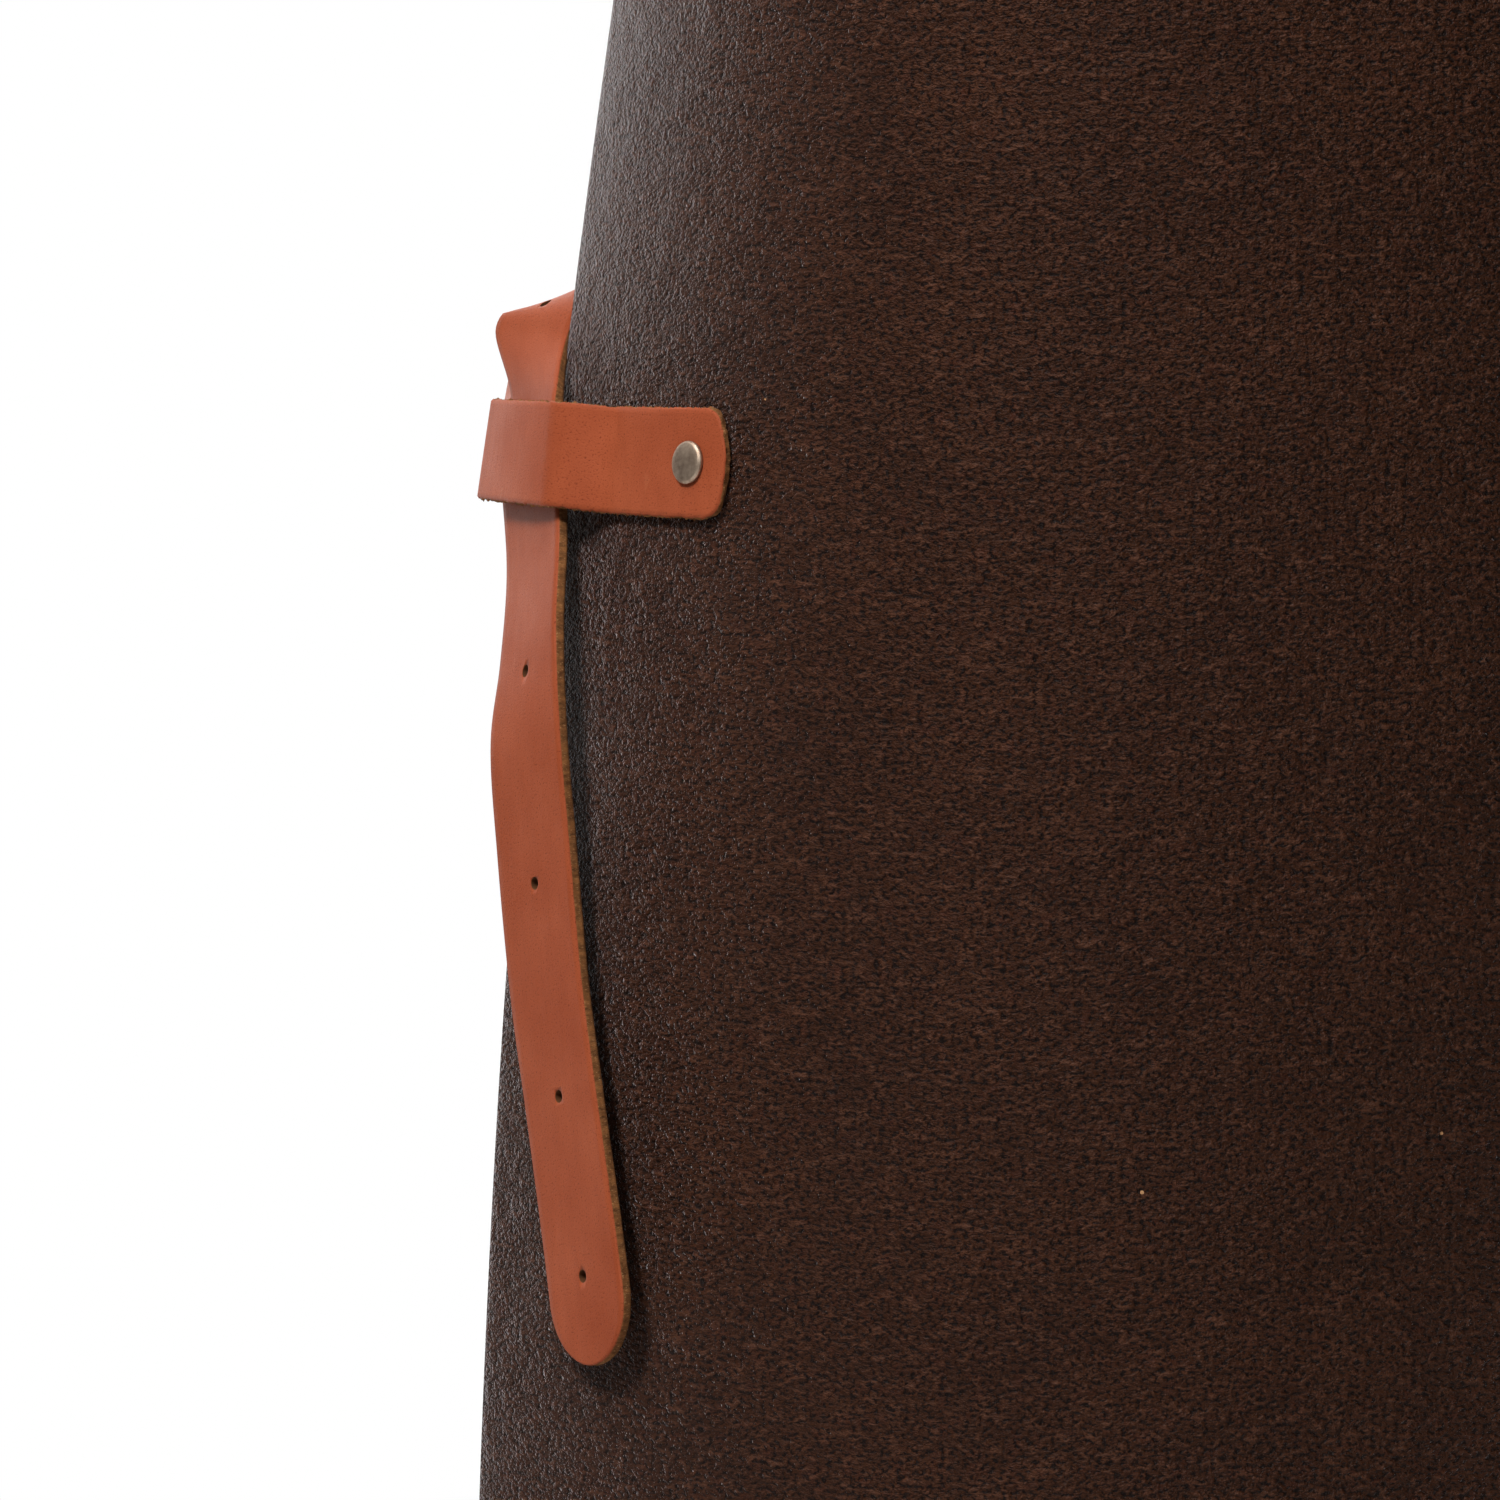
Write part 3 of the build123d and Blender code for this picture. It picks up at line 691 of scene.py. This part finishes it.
for place, (edge_at, keeper_z, side) in KEEPERS.items():
    under = beside_edge(edge_at, keeper_z, side)
    for name, out, facing in ((f"rivet_cap_{place}", LAYER_FRONT + 1.0, 1),
                              (f"rivet_back_cap_{place}", LAYER_BACK - 1.0, -1)):
        point, outward, _ = stand_off(under, side, -RIVET_INBOARD, 0.0, out)
        cap = domed_cap(f"{name}_dome", point, outward * facing, BRASS)
        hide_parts(name)
        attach(cap, "apron")

for name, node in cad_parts.items():
    if name.startswith(("rivet_post", "stud")):
        node.data.materials.clear()
        node.data.materials.append(BRASS)


# ---- straps ------------------------------------------------------------------------------------
ROUTE_STEPS = 16            # points of a route from one station to the next


class Route:
    """A strap's middle line and facing, smooth through stations (point, face[, width way])."""

    def __init__(self, stations):
        points = np.array([s[0] for s in stations], float)
        held = np.array([s[1] for s in stations], float)
        held /= np.linalg.norm(held, axis=1, keepdims=True)
        apart = np.linalg.norm(np.diff(points, axis=0), axis=1)
        knots = np.concatenate([[0.0], np.cumsum(np.sqrt(apart))])
        fine = np.concatenate([np.linspace(a, b, ROUTE_STEPS, endpoint=False)
                               for a, b in zip(knots, knots[1:])] + [[knots[-1]]])
        self.points = self.smooth(points, knots, fine)
        faces = self.smooth(held, knots, fine)
        lengths = np.linalg.norm(np.diff(self.points, axis=0), axis=1)
        self.at = np.concatenate([[0.0], np.cumsum(lengths)])
        self.length = self.at[-1]
        along = np.gradient(self.points, self.at, axis=0)
        along /= np.linalg.norm(along, axis=1, keepdims=True)
        faces -= along * np.sum(faces * along, axis=1, keepdims=True)
        self.faces = faces / np.linalg.norm(faces, axis=1, keepdims=True)
        self.heading = along
        across = np.cross(np.gradient(points, knots, axis=0), held)
        for n, station in enumerate(stations):
            if len(station) > 2:
                across[n] = station[2]
        across /= np.linalg.norm(across, axis=1, keepdims=True)
        across = self.smooth(across, knots, fine)
        self.sideways = across / np.linalg.norm(across, axis=1, keepdims=True)

    @staticmethod
    def smooth(values, knots, fine):
        """Cubic through the values, with each knot's slope taken from its neighbours."""
        slope = np.gradient(values, knots, axis=0)
        n = np.clip(np.searchsorted(knots, fine, side="right") - 1, 0, len(knots) - 2)
        gap = (knots[n + 1] - knots[n])[:, None]
        t = (fine - knots[n])[:, None] / gap
        leave = 2 * t ** 3 - 3 * t ** 2 + 1
        arrive = 3 * t ** 2 - 2 * t ** 3
        leave_slope = t ** 3 - 2 * t ** 2 + t
        arrive_slope = t ** 3 - t ** 2
        return (values[n] * leave + slope[n] * gap * leave_slope
                + values[n + 1] * arrive + slope[n + 1] * gap * arrive_slope)

    def pick(self, values, at):
        """Values between the route's points, at lengths along it."""
        return np.stack([np.interp(at, self.at, values[:, n]) for n in range(3)], axis=-1)

    def surface(self, across, along):
        """The strap's middle surface: across its width, along its length."""
        side = self.pick(self.sideways, along)
        beyond = along - np.clip(along, 0.0, self.length)
        ends = self.pick(self.heading, along) * np.asarray(beyond)[..., None]
        return self.pick(self.points, along) + ends + side * np.asarray(across, float)[..., None]

    def place(self, along):
        """The point and the facing at a length along the route."""
        return self.pick(self.points, np.array(along)), self.pick(self.faces, np.array(along))


STRAP_CELLS_ACROSS = 16
STRAP_CELLS_PER_MM = 0.6
STRAP_FEWEST_CELLS = 24
TIP_ROWS = 0.25             # the share of a tail's rows that its round tip takes
TIP_BLUNT = 0.35            # keeps the rows from closing up before the tip's end
TIP_LEAST = 0.02            # the half width left at the very end


def strap_piece(name, route, holes, seed, tip=False):
    """A strap on its route, with a round tip at the far end if it is a tail."""
    half = STRAP_WIDTH / 2
    length = route.length
    rows = max(STRAP_FEWEST_CELLS, int(length * STRAP_CELLS_PER_MM))

    def outline(u, v, inset):
        reach = length - inset
        if not tip:
            return u * (half - inset), inset + v * (reach - inset)
        nose = 1.0 - TIP_ROWS
        straight = reach - half
        swing = np.clip((v - nose) / TIP_ROWS, 0, 1) * math.pi / 2
        y = np.where(v < nose, inset + (straight - inset) * v / nose,
                     straight + half * np.sin(swing))
        into = np.clip((y - straight) / half, 0.0, 1.0)
        width = (half - inset) * np.sqrt(np.clip(1.0 - into ** 2, 0.0, 1.0))
        least = TIP_BLUNT * (half - inset) * (1 - into) + TIP_LEAST
        return u * np.maximum(width, least), y

    piece = slab(name, outline, route.surface, STRAP_THICK / 2, -STRAP_THICK / 2,
                 (STRAP_CELLS_ACROSS, rows), STRAP_LEATHER, rough=0.10, seed=seed)
    punch(piece, [route.place(at) for at in holes], SHADED_HOLE_WALL)
    return piece


# A tail's stations: past the panel's edge, down from the keeper, out, and twist in degrees.
HIP_TAIL = ((STRAP_BEYOND, 0.0, STRAP_OUT, 0.0), (-6.0, 20.8, 4.4, 3.0), (-13.2, 43.0, 7.2, 5.0),
            (-17.0, 62.0, 8.7, 1.0), (-20.0, 87.0, 6.6, 2.0), (-25.5, 119.0, 4.8, 6.0),
            (-31.5, 141.0, 4.6, 9.0), (-41.0, 179.0, 4.8, 12.0), (-45.0, 197.0, 5.6, 13.0))
BIB_TAIL = ((STRAP_BEYOND, 0.0, STRAP_OUT, 0.0), (STRAP_BEYOND, 20.8, 5.0, 0.0),
            (3.5, 40.0, 6.0, 0.0), (4.5, 75.0, 7.0, 0.0))
TAIL_HELD, TAIL_FREE = 16.0, 26.0       # along a tail: held by its keeper up to, free from
TAIL_SEED = 11


def tail_route(edge_at, keeper_z, side, shape):
    """A tail's route down from the middle of its keeper."""
    under = beside_edge(edge_at, keeper_z, side)
    stations = []
    for past, drop, out, twist in shape:
        point, normal, round_it = stand_off(under, side, past, -drop, out)
        turn = math.radians(twist)
        stations.append((point, normal * math.cos(turn) + round_it * math.sin(turn)))
    return Route(stations)


def joint_blend(piece):
    """Bake a piece's placement into its mesh."""
    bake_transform(piece)


for word, side in SIDES.items():
    for level, edge_at, keeper_z, shape, joint in (
            ("waist", HALF_WIDTH, HIP_Z, HIP_TAIL, "tail"),
            ("neck", BIB_HALF_WIDTH, BIB_Z, BIB_TAIL, "neck_tail")):
        route = tail_route(edge_at, keeper_z, side, shape)
        count = 4 if level == "waist" else 1
        holes = [route.length - TIP_TO_HOLE - (0 if n == 0 else LAST_PITCH + (n - 1) * HOLE_PITCH)
                 for n in range(count)]
        piece = strap_piece(f"{level}_tail_{word}", route, holes, seed=TAIL_SEED + side, tip=True)
        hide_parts(f"{level}_strap_tail_{word}")
        start = route.place(TAIL_HELD)[0] * MM
        end = route.place(TAIL_FREE)[0] * MM
        joint_blend(piece)

# The waist strap from one hip's stud, over the crest, round the back to the other hip's stud.
CREST_TWIST = -19.0
CREST_PAST, CREST_UP, CREST_IN = 15.4, 27.0, 1.0    # past the edge, up, in from STRAP_OUT
ABOVE_KEEPER = KEEPER_HEIGHT / 2 + 0.6
CREST_HOLE = HOLE_PITCH - 6.0
HIP_BEND = (122.0, 52.0, HIP_Z + 16.0)              # where the hip run ends and the back begins
BACK_Y = 84.0
BACK_RISE = 6.0
QUARTER = math.sqrt(0.5)
BACK_DEPTH = (BACK_Y - HIP_BEND[1]) / (1 - QUARTER)
BACK_RADIUS = HIP_BEND[0] / QUARTER


def waist_back_station(angle):
    """Round the back on an ellipse, at an angle from the left side; its face looks out."""
    rise = (math.sin(angle) - QUARTER) / (1 - QUARTER)
    point = np.array([BACK_RADIUS * math.cos(angle),
                      BACK_Y - BACK_DEPTH * (1 - math.sin(angle)),
                      HIP_BEND[2] + BACK_RISE * rise])
    face = np.array([BACK_DEPTH * math.cos(angle), BACK_RADIUS * math.sin(angle), 0.0])
    return point, face / np.linalg.norm(face)


def hip_stations(side):
    """Up through the keeper, over the crest and a quarter twist to lie on the hip behind it."""
    under = beside_edge(HALF_WIDTH, HIP_Z, side)

    def at(past, up, out, twist=0.0):
        point, normal, round_it = stand_off(under, side, past, up, out)
        turn = math.radians(twist)
        face = normal * math.cos(turn) + round_it * math.sin(turn)
        level = normal * math.sin(turn) - round_it * math.cos(turn)
        return point, face, level

    root, face, level = at(CREST_PAST, CREST_UP, STRAP_OUT - CREST_IN, CREST_TWIST)
    out_way = np.array([side, 0.0, 0.0])
    back = np.array([0.0, 1.0, 0.0])
    up = np.array([0.0, 0.0, 1.0])
    flip = np.array([side, 1.0, 1.0])
    bend, bend_face = (value * flip for value in waist_back_station(math.pi / 4))
    heading = out_way * bend_face[1] - back * bend_face[0] * side
    held = [at(STRAP_BEYOND, 0.0, STRAP_OUT), at(STRAP_BEYOND, ABOVE_KEEPER, STRAP_OUT)]
    crest = [(root, face, level),
             (root + up * 6 - out_way * 3, face * 1.6 + up),
             (root + up * 8.5 - out_way * 10 + back * 2, up * 3 + face + back),
             (root + up * 7 - out_way * 19 + back * 10, up * 1.4 + out_way + back * 0.6)]
    hip = [(bend + heading * 26, bend_face), (bend + heading * 12, bend_face)]
    return held + crest + hip


def back_stations():
    """Round the back from the right hip to the left."""
    return [waist_back_station(math.pi * (0.25 + n / 16)) for n in range(8, -1, -1)]


waist_route = Route(hip_stations(-1) + back_stations() + hip_stations(1)[::-1])
waist_holes = [CREST_HOLE, waist_route.length - CREST_HOLE]
waist = strap_piece("waist_strap", waist_route, waist_holes, seed=21)
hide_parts("waist_strap_back", "waist_strap_run_right", "waist_strap_run_left")
joint_blend(waist)

# The neck strap's left half, from above the bib keeper up to the nape: points and faces.
NECK_HALF = (((112, -172, -150), (0.25, -1.0, 0.1)), ((97, -135, -72), (0.30, -0.85, 0.5)),
             ((82, -82, -22), (0.30, -0.35, 1.0)), ((60, -32, -4), (0.35, 0.35, 1.0)),
             ((32, -6, 0), (0.2, 0.9, 0.75)), ((0, 0, 0), (0.0, 1.0, 0.6)))


NECK_HELD = (0.0, 15.0, 45.0)       # up from the bib keeper, where the strap follows the bib


def neck_stations(side):
    """Up through a bib keeper and round the neck to the nape."""
    under = beside_edge(BIB_HALF_WIDTH, BIB_Z, side)
    held = []
    for up in NECK_HELD:
        point, normal, _ = stand_off(under, side, STRAP_BEYOND, up, STRAP_OUT)
        held.append((point, normal))
    flip = np.array([side, 1.0, 1.0])
    return held + [(np.array(p) * flip, np.array(f) * flip) for p, f in NECK_HALF]


neck_route = Route(neck_stations(-1) + neck_stations(1)[-2::-1])
neck = strap_piece("neck_strap", neck_route, [], seed=31)
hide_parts("neck_strap_back", "neck_strap_run_right", "neck_strap_run_left")
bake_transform(neck)

# ---- studio ------------------------------------------------------------------------------------
scene = bpy.context.scene
scene.view_settings.view_transform = "Standard"
world = bpy.data.worlds.new("studio")
scene.world = world
world.use_nodes = True
tree = world.node_tree
tree.nodes.clear()


def world_node(kind, **inputs):
    node = tree.nodes.new(kind)
    for key, value in inputs.items():
        node.inputs[key].default_value = value
    return node


# The camera sees white; the object is lit by a white backdrop behind it and a dim room in front.
BACKDROP = 3.0
ROOM = 0.03
BACKDROP_WAY = (0.574, 0.819, 0.10)     # the way that the camera looks, raised a little
DIM_UP_TO, BRIGHT_FROM = 0.35, 0.95     # cosines of the angle away from it
direction = world_node("ShaderNodeTexCoord")
facing = tree.nodes.new("ShaderNodeVectorMath")
facing.operation = "DOT_PRODUCT"
facing.inputs[1].default_value = BACKDROP_WAY
grade = tree.nodes.new("ShaderNodeMapRange")
grade.interpolation_type = "SMOOTHSTEP"
grade.inputs["From Min"].default_value = DIM_UP_TO
grade.inputs["From Max"].default_value = BRIGHT_FROM
grade.inputs["To Min"].default_value = ROOM
grade.inputs["To Max"].default_value = BACKDROP
room = world_node("ShaderNodeBackground", Color=(1.0, 0.98, 0.97, 1.0))
white = world_node("ShaderNodeBackground", Color=(1.0, 1.0, 1.0, 1.0), Strength=1.0)
seen = tree.nodes.new("ShaderNodeLightPath")
choose = tree.nodes.new("ShaderNodeMixShader")
sky = tree.nodes.new("ShaderNodeOutputWorld")
tree.links.new(direction.outputs["Generated"], facing.inputs[0])
tree.links.new(facing.outputs["Value"], grade.inputs["Value"])
tree.links.new(grade.outputs["Result"], room.inputs["Strength"])
tree.links.new(seen.outputs["Is Camera Ray"], choose.inputs["Fac"])
tree.links.new(room.outputs["Background"], choose.inputs[1])
tree.links.new(white.outputs["Background"], choose.inputs[2])
tree.links.new(choose.outputs["Shader"], sky.inputs["Surface"])

FLOOR_REACH = 1.4
FLOOR_BELOW = 0.25          # metres under the hem
floor_z = panel_low.z - FLOOR_BELOW
corners = ((-1, -1), (1, -1), (1, 1), (-1, 1))
floor_mesh = bpy.data.meshes.new("floor")
floor_mesh.from_pydata([(FLOOR_REACH * x, FLOOR_REACH * y, floor_z) for x, y in corners], [],
                       [(0, 1, 2, 3)])
floor = add_piece("floor", floor_mesh)
pale = Shader("floor").finish((0.85, 0.85, 0.85, 1.0), 0.9)
floor_mesh.materials.append(pale)

# The camera looks at the right hip from the wearer's right front, just above keeper height.
AZIMUTH = math.radians(-35.0)
ELEVATION = math.radians(5.0)
DISTANCE = 1.0
VIEW_WIDTH = 0.326                          # metres across the picture at the rivet
SENSOR = 36.0
back = Vector((math.sin(AZIMUTH) * math.cos(ELEVATION), -math.cos(AZIMUTH) * math.cos(ELEVATION),
               math.sin(ELEVATION)))
RIVET_LEFT, RIVET_UP = 0.0427, 0.1907       # the rivet's place from the middle, in view widths
across = Vector((math.cos(AZIMUTH), math.sin(AZIMUTH), 0.0))
upward = back.cross(across)
rivet = (cap_low + cap_high) / 2
camera_data = bpy.data.cameras.new("camera")
camera_data.sensor_width = SENSOR
camera_data.lens = SENSOR * DISTANCE / VIEW_WIDTH
camera = bpy.data.objects.new("camera", camera_data)
aim = rivet + across * (RIVET_LEFT * VIEW_WIDTH) - upward * (RIVET_UP * VIEW_WIDTH)
camera.location = aim + back * DISTANCE
camera.rotation_mode = "QUATERNION"
camera.rotation_quaternion = (-back).to_track_quat("-Z", "Y")
scene.collection.objects.link(camera)
scene.camera = camera


def area_light(name, azimuth, elevation, distance, size, power):
    """A soft box facing the right hip, from a direction seen as the camera's is."""
    a, e = math.radians(azimuth), math.radians(elevation)
    way = Vector((math.sin(a) * math.cos(e), -math.cos(a) * math.cos(e), math.sin(e)))
    data = bpy.data.lights.new(name, "AREA")
    data.shape = "RECTANGLE"
    data.size, data.size_y = size
    data.energy = power
    lamp = bpy.data.objects.new(name, data)
    lamp.location = rivet + way * distance
    lamp.rotation_mode = "QUATERNION"
    lamp.rotation_quaternion = way.to_track_quat("Z", "Y")
    scene.collection.objects.link(lamp)


area_light("key", azimuth=-72.0, elevation=50.0, distance=2.0, size=(0.5, 0.5), power=44.0)
area_light("top", azimuth=-115.0, elevation=72.0, distance=1.8, size=(0.8, 0.8), power=9.0)
area_light("fill", azimuth=-5.0, elevation=48.0, distance=2.5, size=(1.2, 1.2), power=12.0)
